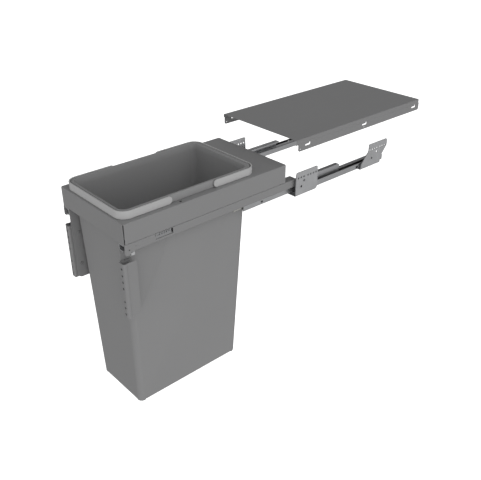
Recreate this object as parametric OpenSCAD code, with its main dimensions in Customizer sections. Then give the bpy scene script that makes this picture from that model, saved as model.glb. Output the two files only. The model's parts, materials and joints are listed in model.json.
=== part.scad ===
// Pull-out waste bin for a narrow base cabinet, drawn fully pulled out.
// The bin hangs in a folded steel tray. The tray runs on two full-extension ball runners that are
// bracketed to the cabinet sides, and a fixed lid in the cabinet covers the bin when it is closed.
// Origin: middle of the cabinet's front edge, level with the row of cabinet fixing holes.
// X runs across the cabinet, Y into the cabinet and Z up. All sizes are in millimetres.

/* [Cabinet] */
// Clear width between the cabinet sides
cabinet_w = 268; // [262:1:320]
// Gap between each cabinet side and the frame
side_gap = 10; // [9:0.5:11]
// Travel of the frame from closed to fully open
travel = 488; // [480:1:492]
// How far the closed frame stands behind the cabinet's front edge
closed_setback = 8; // [8:0.5:12]

/* [Frame] */
// Length of the tray from front to back
frame_l = 457; // [440:1:480]
// Height of the tray
frame_h = 46.5; // [42:0.5:52]
// Sheet thickness of the tray
frame_t = 1.5; // [1.2:0.1:1.8]
// Width of the ledge along each side of the bin
ledge_w = 22.6; // [22.6:0.2:26]
// Depth of the ledge in front of the bin
front_ledge = 14; // [12:0.5:20]
// Length of the opening that the bin hangs in
opening_l = 341.4; // [320:0.2:350]

/* [Bin] */
// Depth of the bin below the ledge
bin_depth = 510; // [300:5:560]
// Wall of the bin
bin_wall = 2; // [1.6:0.1:2.4]
// Gap all round between the bin and the edge of the opening
bin_gap = 0.8; // [0.6:0.1:1.2]
// Height of the rim above the ledge
rim_h = 18.2; // [16:0.2:24]
// How far each side draws in towards the base
side_draft = 18.2; // [16:0.2:24]
// How far the front draws in towards the base
front_draft = 11.7; // [8:0.1:20]
// How far the back draws in towards the base
rear_draft = 25.6; // [15:0.1:30]

/* [Handles] */
// Thickness of the handle band
handle_t = 3; // [2.6:0.1:4]
// Gap between the handle band and the rim
handle_gap = 2; // [1.5:0.1:3]
// Distance between the ends of the two handles
handle_end_gap = 113; // [100:1:140]
// Diameter of the moulded pivot studs
stud_d = 8; // [6:0.5:10]

/* [Runners] */
// Width of a runner from the side of the tray to its inner wall
runner_w = 22.8; // [22.8:0.2:24]
// Sheet thickness of the cabinet rail and of the drawer rail
rail_t = 2; // [1.8:0.1:2.2]
// Sheet thickness of the middle rail
mid_t = 1.5; // [1.3:0.1:1.7]
// Height of the middle rail
mid_h = 24.4; // [24:0.1:28]
// Length of the middle rail
mid_l = 334.5; // [330:0.5:345]
// Length of the cabinet rail
cab_rail_l = 338; // [330:1:340]
// Diameter of the bearing balls
ball_d = 5; // [4.6:0.1:5.2]
// Length of the ball cages
cage_l = 152; // [130:1:158]
// Height of the painted side profile under the tray
profile_h = 20.3; // [18:0.1:22]
// Sheet thickness of the side profile
profile_t = 2; // [1.6:0.1:2.2]
// How far the side profile runs out behind the tray
profile_tail = 36; // [20:1:36]

/* [Cabinet brackets] */
// Sheet thickness of the brackets
bracket_t = 2; // [1.6:0.1:2.2]
// Drop from the row of fixing holes to the underside of a bracket
bracket_drop = 47.6; // [46:0.2:50]
// Rise from the row of fixing holes to the top of a bracket
bracket_rise = 15; // [12:0.5:20]
// Diameter of the fixing holes
fix_hole_d = 5.2; // [4.4:0.1:5.6]
// Pitch of the fixing holes
fix_pitch = 9.6; // [8.8:0.1:9.8]

/* [Door brackets] */
// Height of a door bracket
door_bracket_h = 135; // [130:1:160]
// Depth of a door bracket's outer leg
door_leg = 33; // [28:1:36]
// Sheet thickness of a door bracket
door_t = 1.6; // [1.2:0.1:2]
// Pitch of the door fixing holes
door_pitch = 16; // [14:0.5:16.5]
// Diameter of the door fixing holes
door_hole_d = 5.6; // [4:0.1:6]
// Sheet thickness of the gusset plates
gusset_t = 1.6; // [1.2:0.1:1.6]

/* [Lid] */
// Length of the lid
lid_l = 485; // [450:1:500]
// Height of the lid's upper face above the fixing holes
lid_rise = 97.4; // [85:0.1:120]
// Sheet thickness of the lid
lid_t = 1.2; // [1:0.1:1.5]
// Height of the lid's side flange
lid_flange_h = 28.9; // [26:0.1:32]

/* [Hidden] */
$fn = 48;

// Overrun of every cut, and the thickness of the slices that a hull is drawn between
over = 1;
slice = 0.2;
// Flat steps in a sheet bend and in a rounded corner of an outline
bend_steps = 6;
corner_steps = 8;
// Clearances: flat faces that slide, a ball in its track, a pin in its bore, a rivet in its hole
slide_gap = 0.4;
ball_clear = 0.05;
pin_clear = 0.1;
rivet_clear = 0.05;
seat_gap = 0.3;

// Frame: faces, corners and the opening for the bin
side_x = cabinet_w / 2 - side_gap;
front_y = closed_setback - travel;
rear_y = front_y + frame_l;
corner_gap = 2.8;
frame_bend = 0.5;
return_w = 12;
ledge_x = side_x - ledge_w;
open_y0 = front_y + front_ledge;
open_y1 = open_y0 + opening_l;
opening_r = 18;
ledge_hole_d = 6.5;
ledge_hole_in = 10.5;
ledge_hole_back = 150.6;

// Runner: heights stack up from the underside of the cabinet brackets
ball_gap = ball_d + 2 * ball_clear;
bracket_z0 = -bracket_drop;
base_top = bracket_z0 + bracket_t + rail_t;
mid_z0 = base_top + ball_gap;
mid_z1 = mid_z0 + mid_h;
drawer_under = mid_z1 + ball_gap;
frame_z0 = drawer_under + rail_t + profile_t;
frame_z1 = frame_z0 + frame_h;

// Runner: widths step in from the side of the tray
rail_x = side_x - runner_w;
wall_x = rail_x + slide_gap;
lip_gap = 0.8;
mid_x0 = wall_x + rail_t + lip_gap;
mid_w = 12.5;
mid_x1 = mid_x0 + mid_w;
ball_in = 5.25;
ball_x = mid_x0 + ball_in;
tongue_x = mid_x1 - mid_t - 1;
track_bend = 0.6;
cab_flange_in = 7;
cab_flange_h = 15.4;
cab_rail_y0 = 12;
mid_lip = 5;
mid_hem = 3;
mid_back = 326.5;
mid_y0 = front_y + mid_back;
mid_end_r = 4;
mid_hole_d = 6;
mid_hole_back = 58;
mid_hole_up = 4.4;
mid_stop_d = 5;
mid_stop_h = 0.6;
mid_stop_in = 10;
drawer_rail_w = 17.8;
drawer_rail_l = frame_l + profile_tail;

// Ball cages: two groups of balls in each of two rows
cage_t = 1.6;
cage_play = 0.4;
hole_play = 0.1;
balls_in_group = 4;
ball_pitch = 8;
cage_edge = 7;
lower_cage_y0 = cab_rail_y0 + 6;
upper_cage_y0 = mid_y0 + 12;
buffer_l = 28.5;
buffer_neck = 13;
buffer_neck_w = 3.2;
buffer_plug = 9;
buffer_up = 4.5;
buffer_h = 10.8;
buffer_ribs = 4;
buffer_rib_w = 1.4;
buffer_groove = 1;

// Side profile: front lobe, hem, window and slot
lobe_l = 12.5;
lobe_h = 25.5;
lobe_r = 5;
hem_w = 5.2;
hem_cut = 32;
tail_slant = 4;
lobe_hole_d = 4;
lobe_hole_y = 10.7;
lobe_hole_z = 13.5;
window_y = 75.5;
window_l = 45;
window_h = 12.5;
window_top = 1;
window_r = 1.5;

// Release lever: pivot place behind the front face and below the tray
lever_t = 2;
lever_y = 26.8;
lever_z = 9.6;
lever_eye_r = 4.5;
lever_pin_d = 3;
lever_pin_head_d = 6;
lever_pin_head_t = 0.8;
thumb_y0 = 14;
thumb_l = 9;
thumb_top = 21.2;
thumb_h = 7;
thumb_r = 2;

// Adjuster: block in the window, with a plate behind it and a toothed step along its upper edge
adjust_travel = 4;
adjust_play = 0.4;
adjust_under = 1.6;
adjust_over = 1;
adjust_back_t = 1.6;
adjust_band_h = 6;
adjust_band_in = 0.3;
adjust_step_in = 1.2;
adjust_teeth = 5;
adjust_tooth_pitch = 6;
adjust_tooth_w = 2.4;
adjust_proud = 0.5;
adjust_lug_w = 3;

// Frame rivets, from the front face of the tray
rivet_back = [40, 180, 310, 435];
rivet_in = 7.5;
rivet_d = 4;
rivet_head_d = 4.6;
rivet_head_t = 1;

// Cabinet brackets: plates, hole rows and rivets in the foot
plate_x = cabinet_w / 2;
front_plate_y = 2;
front_plate_l = 77.5;
rear_plate_y = 251;
rear_plate_l = 105;
front_row_y = 10;
front_gap_y = 43.2;
rear_row_y = 285.5;
rear_gap_y = 327.5;
side_hole_d = 6.4;
side_hole_z = [-10.8, -24.5];
front_side_hole_y = [30.5, 21];
rear_side_hole_y = [314.4, 294.5];
foot_rivet_d = 4;
foot_rivet_head_d = 7;
foot_rivet_head_t = 1.2;
foot_rivet_y = [[20, 62], [272, 322]];
rear_lean = 24;
rear_shoulder = 3.5;
rear_waist = 31;
scallop_d = 6.4;
scallop_back = [10.4, 36.6, 62];
bracket_bend = 1;
foot_x = wall_x + 1.4;
foot_rivet_x = (mid_x1 + side_x + closed_setback - cab_flange_in) / 2;

// Door brackets and gusset plates
door_face_y = front_y - 5;
door_top = 2.4;
door_hole_first = 13.5;
door_hole_rows = [0, 1, 2, 3, 5, 6, 7];
door_hole_x = 12;
door_outer_x = side_x - 3;
door_inner_x = rail_x + 2;
door_leg_r = 4;
door_bend = 4;
door_jog = 1;
door_jog_back = 8;
door_leg_rise = 5;
inner_leg = 29;
screw_d = 4;
screw_head_d = 8;
screw_head_t = 1.6;
screw_back = [22, 19];
screw_down = [20, 101];
boss_d = 10;
nut_w = 7;
nut_t = 3;
gusset_front = 0.5;
gusset_top = 1.4;
gusset_l = 138;
gusset_drop = 182;
gusset_foot = 41;
gusset_r = 12;

// Lid: flange, jog, slots and small holes
lid_y0 = 1;
lid_side_gap = 0.5;
lid_jog = 1.5;
lid_jog_h = 2.5;
lid_strip_h = 9;
lid_bend = 0.8;
lid_low_setback = 4;
lid_low_r = 5;
lid_slot_y = [36, 248, 460];
lid_slot_l = 18;
lid_slot_h = 4;
lid_slot_z = 17;
lid_hook = 3.5;
lid_small_d = 3;
lid_small_z = 23.6;
lid_small_y = [11, 248];

// Bin: outlines as [x, front y, back y, corner radius]
body_x = ledge_x - bin_gap;
body_y0 = open_y0 + bin_gap;
body_y1 = open_y1 - bin_gap;
body_r = 16;
foot_r = 14;
foot_edge = 5;
seat_z = frame_z1 + seat_gap;
rim_z1 = seat_z + rim_h;
bin_z0 = seat_z - bin_depth;
rim_side = 6.4;
rim_front = 4.8;
rim_rear = 11.4;
rim_top_t = 2.2;
rim_r = 22.5;
mouth_side = 6;
mouth_front = 5;
mouth_rear = 13;
mouth_r = 17;
rim_edge = 1.5;
edge_steps = 3;
rim_x = body_x + rim_side;
rim_y0 = body_y0 - rim_front;
rim_y1 = body_y1 + rim_rear;

// Handles: a band round each half of the rim
handle_r = 26;
handle_x = rim_x + handle_gap + handle_t;
handle_y0 = rim_y0 - handle_gap - handle_t;
handle_y1 = rim_y1 + handle_gap + handle_t;
handle_h = rim_h - seat_gap;
handle_mid_y = (handle_y0 + handle_y1) / 2;
pivot_z = rim_z1 - handle_h / 2;
pivot_back = (handle_end_gap + handle_h) / 2;
stud_in = 2;
stud_floor = 0.4;

// Colours
paint = [0.46, 0.46, 0.46];
bin_grey = [0.45, 0.45, 0.46];
handle_grey = [0.68, 0.68, 0.68];
zinc = [0.74, 0.75, 0.76];
steel = [0.8, 0.8, 0.82];
plastic = [0.85, 0.85, 0.83];

// Plane geometry
function unit(v) = v / norm(v);
function left_of(v) = [-v[1], v[0]];
function turned(v, a) = [v[0] * cos(a) - v[1] * sin(a), v[0] * sin(a) + v[1] * cos(a)];
function turn_of(u, v) = atan2(u[0] * v[1] - u[1] * v[0], u * v);
function reversed(v) = [for (i = [len(v) - 1 : -1 : 0]) v[i]];

// One face of a sheet bend at b, on the left (side 1) or the right (side -1) of the path a, b, c
function bend_face(a, b, c, t, r, side) =
    let (
        u = unit(b - a),
        turn = turn_of(u, unit(c - b)),
        k = sign(turn),
        mid = r + t / 2,
        centre = b - u * mid * tan(abs(turn) / 2) + left_of(u) * k * mid
    )
    [for (i = [0 : bend_steps])
        centre - turned(left_of(u), turn * i / bend_steps) * k * (mid - side * k * t / 2)];

function sheet_face(path, t, radii, side) =
    let (n = len(path))
    concat(
        [path[0] + left_of(unit(path[1] - path[0])) * side * t / 2],
        [for (i = [1 : n - 2])
            each bend_face(path[i - 1], path[i], path[i + 1], t, radii[i - 1], side)],
        [path[n - 1] + left_of(unit(path[n - 1] - path[n - 2])) * side * t / 2]
    );

// Cross-section of a bent sheet of thickness t along its middle path, with the inside radius of each bend
function sheet(path, t, radii) =
    concat(sheet_face(path, t, radii, 1), reversed(sheet_face(path, t, radii, -1)));

// Rounded corner b = [x, y, radius] of an outline, between its neighbours a and c
function corner(a, b, c) =
    b[2] == 0 ? [[b[0], b[1]]] :
    let (
        p = [b[0], b[1]],
        u = unit([a[0], a[1]] - p),
        v = unit([c[0], c[1]] - p),
        half = acos(u * v) / 2,
        centre = p + unit(u + v) * b[2] / sin(half),
        e = unit(p + u * b[2] / tan(half) - centre),
        sweep = turn_of(e, unit(p + v * b[2] / tan(half) - centre))
    )
    [for (i = [0 : corner_steps]) centre + b[2] * turned(e, sweep * i / corner_steps)];

function outline(corners) =
    let (n = len(corners))
    [for (i = [0 : n - 1]) each corner(corners[(i + n - 1) % n], corners[i], corners[(i + 1) % n])];

// Extrusions: profiles in X and Z run along Y, profiles in Y and Z run along X
module along_y(y0, y1) translate([0, y1, 0]) rotate([90, 0, 0]) linear_extrude(y1 - y0) children();
module along_x(x0, x1) translate([x0, 0, 0]) rotate([90, 0, 90]) linear_extrude(x1 - x0) children();
module up_from(z0, z1) translate([0, 0, z0]) linear_extrude(z1 - z0) children();
module bore_x(x0, x1, y, z, d) translate([x0, y, z]) rotate([0, 90, 0]) cylinder(h = x1 - x0, d = d);
module bore_z(z0, z1, x, y, d) translate([x, y, z0]) cylinder(h = z1 - z0, d = d);

// Rectangle with true round corners
module round_rect(x0, x1, y0, y1, r) {
    translate([x0 + r, y0]) square([x1 - x0 - 2 * r, y1 - y0]);
    translate([x0, y0 + r]) square([x1 - x0, y1 - y0 - 2 * r]);
    for (x = [x0 + r, x1 - r], y = [y0 + r, y1 - r]) translate([x, y]) circle(r);
}

// Slot with true round ends, along the first axis
module slot(x0, x1, y0, y1) {
    r = (y1 - y0) / 2;
    translate([x0 + r, y0]) square([x1 - x0 - 2 * r, y1 - y0]);
    for (x = [x0 + r, x1 - r]) translate([x, y0 + r]) circle(r);
}

module left() mirror([1, 0, 0]) children();
module right() children();

// Cabinet rail: an open channel whose inner wall turns over the middle rail's foot as a ball track
module cabinet_rail() {
    z = base_top - rail_t / 2;
    x0 = wall_x + rail_t / 2;
    x1 = side_x + closed_setback - cab_flange_in + rail_t / 2;
    tongue_z = mid_z0 + mid_t + ball_gap + rail_t / 2;
    y1 = cab_rail_y0 + cab_rail_l;
    color(zinc) difference() {
        along_y(cab_rail_y0, y1)
            polygon(sheet(
                [[x1, z - rail_t / 2 + cab_flange_h], [x1, z], [x0, z], [x0, tongue_z], [tongue_x, tongue_z]],
                rail_t, [track_bend, track_bend, track_bend]
            ));
        for (pair = foot_rivet_y, y = pair)
            bore_z(bracket_z0, base_top + over, foot_rivet_x, y, foot_rivet_d + 2 * rivet_clear);
        // Locating slot in the outer flange, just ahead of the rear bracket
        along_x(x1 - rail_t, x1 + rail_t)
            slot(
                rear_plate_y - 2 * side_hole_d, rear_plate_y - side_hole_d / 2,
                base_top + rail_t, base_top + rail_t + side_hole_d
            );
    }
}

// Fixing holes along the row at z = 0, as [first y of the near group, count] pairs
module fixing_holes(groups) {
    for (g = groups, i = [0 : g[1] - 1])
        bore_x(plate_x - bracket_t - over, plate_x + over, g[0] + i * fix_pitch, 0, fix_hole_d);
}

module bracket_plate(z1) {
    x = plate_x - bracket_t / 2;
    z = bracket_z0 + bracket_t / 2;
    polygon(sheet([[x, z1], [x, z], [foot_x, z]], bracket_t, [bracket_bend]));
}

module foot_holes(ys) {
    for (y = ys)
        bore_z(bracket_z0 - over, bracket_z0 + bracket_t + over, foot_rivet_x, y, foot_rivet_d + 2 * rivet_clear);
}

// Front cabinet bracket: side plate with a rounded upper front corner and a chamfered lower rear corner
module front_bracket() {
    y0 = front_plate_y;
    y1 = front_plate_y + front_plate_l;
    color(zinc) difference() {
        intersection() {
            along_y(y0, y1) bracket_plate(bracket_rise);
            along_x(foot_x - over, plate_x + over)
                polygon(outline([
                    [y0, bracket_z0, 0], [y1 - 3 * bracket_t, bracket_z0, bracket_t],
                    [y1, bracket_z0 + 4 * bracket_t, 2 * bracket_t],
                    [y1 - bracket_t, bracket_rise, 2 * bracket_t], [y0 + bracket_t, bracket_rise, bracket_t],
                    [y0, bracket_rise - 3 * bracket_t, bracket_t]
                ]));
        }
        fixing_holes([[front_row_y, 3], [front_gap_y, 4]]);
        for (i = [0, 1])
            bore_x(plate_x - bracket_t - over, plate_x + over, front_side_hole_y[i], side_hole_z[i], side_hole_d);
        foot_holes(foot_rivet_y[0]);
    }
}

// Rear cabinet bracket: a plate that leans back in an S, with a scalloped foot
module rear_bracket() {
    y0 = rear_plate_y;
    y1 = rear_plate_y + rear_plate_l;
    y_top = y0 + rear_lean + 2 * bracket_t;
    z1 = bracket_rise + bracket_t;
    color(zinc) difference() {
        intersection() {
            along_y(y0, y1) bracket_plate(z1);
            along_x(foot_x - over, plate_x + over)
                polygon(outline([
                    [y0, bracket_z0, 0], [y1 - rear_lean, bracket_z0, 2 * bracket_t],
                    [y1 - rear_lean, -rear_waist, 2 * rear_lean / 3],
                    [y1, -rear_shoulder / 2, rear_lean / 3], [y1, z1 - 2 * bracket_t, bracket_t],
                    [y1 - 2 * bracket_t, z1, bracket_t], [y_top, z1, 0],
                    [y_top, -rear_shoulder / 2, rear_lean / 3],
                    [y0 + bracket_t, -rear_waist, rear_lean / 2]
                ]));
        }
        fixing_holes([[rear_row_y, 4], [rear_gap_y, 3]]);
        for (i = [0, 1])
            bore_x(plate_x - bracket_t - over, plate_x + over, rear_side_hole_y[i], side_hole_z[i], side_hole_d);
        // Scallops along the bend
        for (b = scallop_back) bore_x(plate_x - 2 * bracket_t, plate_x + over, y0 + b, bracket_z0, scallop_d);
        foot_holes(foot_rivet_y[1]);
    }
}

// Rivets that hold the rail's base to the bracket feet
module bracket_rivets() {
    color(steel) for (pair = foot_rivet_y, y = pair) {
        bore_z(bracket_z0, base_top, foot_rivet_x, y, foot_rivet_d);
        bore_z(base_top, base_top + foot_rivet_head_t, foot_rivet_x, y, foot_rivet_head_d);
        bore_z(bracket_z0 - foot_rivet_head_t, bracket_z0, foot_rivet_x, y, foot_rivet_head_d);
    }
}

// Fixed lid: one folded sheet whose side flanges step out to meet the cabinet sides
module lid() {
    x_low = cabinet_w / 2 - lid_side_gap - lid_t / 2;
    x_up = x_low - lid_jog;
    z_top = lid_rise - lid_t / 2;
    z_low = lid_rise - lid_flange_h;
    z_jog = lid_rise - lid_strip_h;
    y1 = lid_y0 + lid_l;
    half_path = [[x_low, z_low], [x_low, z_jog - lid_jog_h], [x_up, z_jog], [x_up, z_top]];
    full_path = concat(half_path, [for (p = reversed(half_path)) [-p[0], p[1]]]);
    color(paint) difference() {
        intersection() {
            along_y(lid_y0, y1)
                polygon(sheet(full_path, lid_t, [for (i = [1 : len(full_path) - 2]) lid_bend]));
            along_x(-cabinet_w, cabinet_w) {
                translate([lid_y0, z_jog]) square([lid_l, lid_strip_h + over]);
                polygon(outline([
                    [lid_y0 + lid_low_setback, z_low, lid_low_r], [y1, z_low, lid_low_r],
                    [y1, z_jog + over, 0], [lid_y0 + lid_low_setback, z_jog + over, 0]
                ]));
            }
        }
        // Hook-in slots: a level run that ends in a raised seat
        for (y = lid_slot_y) along_x(-cabinet_w, cabinet_w) {
            z = lid_rise - lid_slot_z;
            slot(
                lid_y0 + y - lid_slot_l / 2, lid_y0 + y + lid_slot_l / 2,
                z - lid_slot_h / 2, z + lid_slot_h / 2
            );
            round_rect(
                lid_y0 + y + lid_slot_l / 2 - lid_slot_h - slide_gap, lid_y0 + y + lid_slot_l / 2,
                z - lid_slot_h / 2, z + lid_slot_h / 2 + lid_hook, lid_slot_h / 2
            );
        }
        for (y = lid_small_y)
            bore_x(-cabinet_w, cabinet_w, lid_y0 + y, lid_rise - lid_small_z, lid_small_d);
    }
}

// Middle rail: a lipped channel, open towards the bin, that runs between two pairs of ball rows; its outer web
// is doubled over in a hem below the foot
module middle_rail() {
    x0 = mid_x0 + mid_t / 2;
    x1 = mid_x1 - mid_t / 2;
    z0 = mid_z0 + mid_t / 2;
    z1 = mid_z1 - mid_t / 2;
    y1 = mid_y0 + mid_l;
    color(zinc) difference() {
        union() {
            intersection() {
                along_y(mid_y0, y1)
                    polygon(sheet(
                        [[x0, mid_z0 + mid_lip], [x0, z0], [x1, z0], [x1, z1], [x0, z1], [x0, mid_z1 - mid_lip]],
                        mid_t, [track_bend, track_bend, track_bend, track_bend]
                    ));
                along_x(mid_x0 - over, mid_x1 + over)
                    polygon(outline([
                        [mid_y0, mid_z0 - over, 0], [y1, mid_z0 - over, 0], [y1, mid_z1, mid_end_r],
                        [mid_y0, mid_z1, mid_t]
                    ]));
            }
            along_y(mid_y0, y1)
                polygon(outline([
                    [mid_x1 - 2 * mid_t, mid_z0 - mid_hem, mid_t / 2], [mid_x1, mid_z0 - mid_hem, mid_t],
                    [mid_x1, mid_z0 + 2 * mid_t, 0], [mid_x1 - mid_t, mid_z0 + 2 * mid_t, 0],
                    [mid_x1 - mid_t, mid_z0 + mid_t, 0], [mid_x1 - 2 * mid_t, mid_z0 + mid_t, 0]
                ]));
            // Pressed stop near the rear end
            bore_x(mid_x1 - mid_t, mid_x1 + mid_stop_h, y1 - mid_stop_in, (mid_z0 + mid_z1) / 2, mid_stop_d);
        }
        bore_x(mid_x1 - 2 * mid_t, mid_x1 + over, mid_y0 + mid_hole_back, mid_z0 + mid_hole_up, mid_hole_d);
    }
}

// Ribbed buffer on a neck that is plugged into the front end of the middle rail
module rail_buffer() {
    z0 = mid_z0 + buffer_up;
    z1 = z0 + buffer_h;
    x0 = mid_x0 + mid_t + cage_play;
    x1 = mid_x1 - mid_t;
    plug_z0 = mid_z0 + mid_t + cage_play / 4;
    ribs_y0 = mid_y0 - buffer_l;
    rib_pitch = (buffer_l - buffer_neck - buffer_rib_w) / (buffer_ribs - 1);
    color(plastic) {
        along_y(ribs_y0, mid_y0 - buffer_neck) round_rect(mid_x0, x1 - buffer_groove, z0, z1, mid_t);
        for (i = [0 : buffer_ribs - 1])
            along_y(ribs_y0 + i * rib_pitch, ribs_y0 + i * rib_pitch + buffer_rib_w)
                round_rect(mid_x0, x1, z0, z1, mid_t);
        along_y(mid_y0 - buffer_neck - buffer_rib_w, mid_y0 + buffer_plug)
            round_rect(x0, x0 + buffer_neck_w, plug_z0, z1, mid_t / 2);
        along_y(mid_y0 + buffer_plug / 2, mid_y0 + buffer_plug)
            round_rect(x0, x1 - cage_play / 4, plug_z0, z1, mid_t / 2);
    }
}

// Places of the balls along a cage that starts at y0: one group at each end
function ball_ys(y0) =
    [for (g = [0, 1], i = [0 : balls_in_group - 1])
        g == 0 ? y0 + cage_edge + i * ball_pitch : y0 + cage_l - cage_edge - i * ball_pitch];

// A pair of cage strips at the heights of two ball rows, the outer one of a given width
module cage(y0, outer_z, inner_z, outer_w) {
    color(plastic) difference() {
        union() {
            translate([mid_x0, y0, outer_z - cage_t / 2]) cube([outer_w, cage_l, cage_t]);
            translate([mid_x0 + mid_t + cage_play, y0, inner_z - cage_t / 2])
                cube([mid_w - 2 * mid_t - 2 * cage_play, cage_l, cage_t]);
        }
        for (y = ball_ys(y0), z = [outer_z, inner_z])
            bore_z(z - cage_t, z + cage_t, ball_x, y, ball_d + 2 * hole_play);
    }
}

module balls(y0, zs) {
    color(steel) for (y = ball_ys(y0), z = zs) translate([ball_x, y, z]) sphere(d = ball_d);
}

lower_rows = [mid_z0 - ball_gap / 2, mid_z0 + mid_t + ball_gap / 2];
upper_rows = [mid_z1 + ball_gap / 2, mid_z1 - mid_t - ball_gap / 2];
module lower_cage() cage(lower_cage_y0, lower_rows[0], lower_rows[1], mid_w - 2 * mid_t - cage_play);
module lower_balls() balls(lower_cage_y0, lower_rows);
module upper_cage() cage(upper_cage_y0, upper_rows[0], upper_rows[1], mid_w);
module upper_balls() balls(upper_cage_y0, upper_rows);

// Drawer rail: hangs under the side profile and turns in below the middle rail's head as a ball track
module drawer_rail() {
    z = drawer_under + rail_t / 2;
    x0 = rail_x + rail_t / 2;
    tongue_z = mid_z1 - mid_t - ball_gap - rail_t / 2;
    color(zinc) difference() {
        along_y(front_y + gusset_front, front_y + drawer_rail_l)
            polygon(sheet(
                [[rail_x + drawer_rail_w, z], [x0, z], [x0, tongue_z], [tongue_x, tongue_z]],
                rail_t, [track_bend, track_bend]
            ));
        rivet_holes();
    }
}

module rivet_holes() {
    for (b = rivet_back)
        bore_z(drawer_under - over, frame_z0 + frame_t + over, side_x - rivet_in, front_y + b, rivet_d + 2 * rivet_clear);
}

// Rivets through the tray's bottom return, the side profile and the drawer rail
module frame_rivets() {
    color(steel) for (b = rivet_back) {
        bore_z(drawer_under, frame_z0 + frame_t, side_x - rivet_in, front_y + b, rivet_d);
        bore_z(frame_z0 + frame_t, frame_z0 + frame_t + rivet_head_t, side_x - rivet_in, front_y + b, 2 * rivet_head_d - rivet_d);
        bore_z(drawer_under - rivet_head_t, drawer_under, side_x - rivet_in, front_y + b, rivet_head_d);
    }
}

// Tray: one blank folded down on all four sides, with open slits at the corners
module frame_tray() {
    x = side_x - frame_t / 2;
    z0 = frame_z0 + frame_t / 2;
    z1 = frame_z1 - frame_t / 2;
    half_path = [[side_x - return_w, z0], [x, z0], [x, z1]];
    full_path = concat(half_path, [for (p = reversed(half_path)) [-p[0], p[1]]]);
    flat_in = frame_t + frame_bend;
    flat_x = side_x - flat_in;
    color(paint) difference() {
        union() {
            along_y(front_y + corner_gap, rear_y - corner_gap)
                polygon(sheet(full_path, frame_t, [for (i = [1 : len(full_path) - 2]) frame_bend]));
            along_x(-side_x + corner_gap, side_x - corner_gap) {
                polygon(sheet(
                    [[front_y + frame_t / 2, frame_z0], [front_y + frame_t / 2, z1], [open_y0, z1]],
                    frame_t, [frame_bend]
                ));
                polygon(sheet(
                    [[open_y1, z1], [rear_y - frame_t / 2, z1], [rear_y - frame_t / 2, frame_z0]],
                    frame_t, [frame_bend]
                ));
            }
            // The top reaches into each corner as far as the bends
            up_from(frame_z1 - frame_t, frame_z1)
                round_rect(-flat_x, flat_x, front_y + flat_in, rear_y - flat_in, frame_bend);
        }
        up_from(frame_z1 - frame_t - over, frame_z1 + over)
            round_rect(-ledge_x, ledge_x, open_y0, open_y1, opening_r);
        for (s = [-1, 1])
            bore_z(
                frame_z1 - frame_t - over, frame_z1 + over,
                s * (side_x - ledge_hole_in), front_y + ledge_hole_back, ledge_hole_d
            );
        rivet_holes();
        mirror([1, 0, 0]) rivet_holes();
    }
}

// Side profile: painted channel under the tray, with a hem, a front lobe, a slanted tail and a window
module side_profile() {
    y0 = front_y + gusset_front;
    y1 = rear_y + profile_tail;
    z0 = frame_z0 - profile_h;
    x = side_x - profile_t / 2;
    window_z1 = frame_z0 - window_top;
    window_z0 = window_z1 - window_h;
    color(paint) difference() {
        union() {
            intersection() {
                along_y(y0, y1)
                    polygon(sheet(
                        [[rail_x, frame_z0 - profile_t / 2], [x, frame_z0 - profile_t / 2],
                         [x, z0 + profile_t / 2], [side_x - hem_w, z0 + profile_t / 2]],
                        profile_t, [track_bend, track_bend]
                    ));
                along_x(rail_x - over, side_x + over)
                    polygon([
                        [y0, z0 - over], [y1 - tail_slant, z0 - over], [y1, frame_z0 + over], [y0, frame_z0 + over]
                    ]);
            }
            along_x(side_x - profile_t, side_x)
                polygon(outline([
                    [y0, frame_z0 - lobe_h, lobe_r], [y0 + lobe_l, frame_z0 - lobe_h, lobe_r],
                    [y0 + lobe_l, frame_z0 - profile_t, 0], [y0, frame_z0 - profile_t, 0]
                ]));
        }
        // The hem is cut away round the release lever
        translate([rail_x - over, y0 - over, z0 - lobe_h])
            cube([side_x - profile_t - rail_x + over, hem_cut + over, lobe_h + profile_h - 2 * profile_t]);
        bore_x(side_x - profile_t - over, side_x + over, front_y + lobe_hole_y, frame_z0 - lobe_hole_z, lobe_hole_d);
        bore_x(
            side_x - profile_t - over, side_x + over, front_y + lever_y, frame_z0 - lever_z,
            lever_pin_d + 2 * rivet_clear
        );
        along_x(side_x - profile_t - over, side_x + over)
            round_rect(front_y + window_y, front_y + window_y + window_l, window_z0, window_z1, window_r);
        rivet_holes();
    }
}

// Gusset plate: carries the door bracket below the runner
module gusset_plate() {
    y0 = front_y + gusset_front;
    z1 = frame_z0 - profile_t - gusset_top;
    z0 = frame_z0 - gusset_drop;
    color(paint) difference() {
        along_x(rail_x - gusset_t, rail_x)
            polygon(outline([
                [y0, z0, gusset_r], [y0 + gusset_foot, z0, gusset_r], [y0 + gusset_l, z1, 0], [y0, z1, 0]
            ]));
        screw_places() bore_x(rail_x - gusset_t - over, rail_x + over, 0, 0, screw_d + 2 * pin_clear);
    }
}

// Moves its children to the two door-bracket screws, in the plane of the side
module screw_places() {
    for (i = [0, 1])
        translate([0, door_face_y + screw_back[i], door_z1() - screw_down[i]]) children();
}

function door_z1() = bracket_z0 - door_top;

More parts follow.
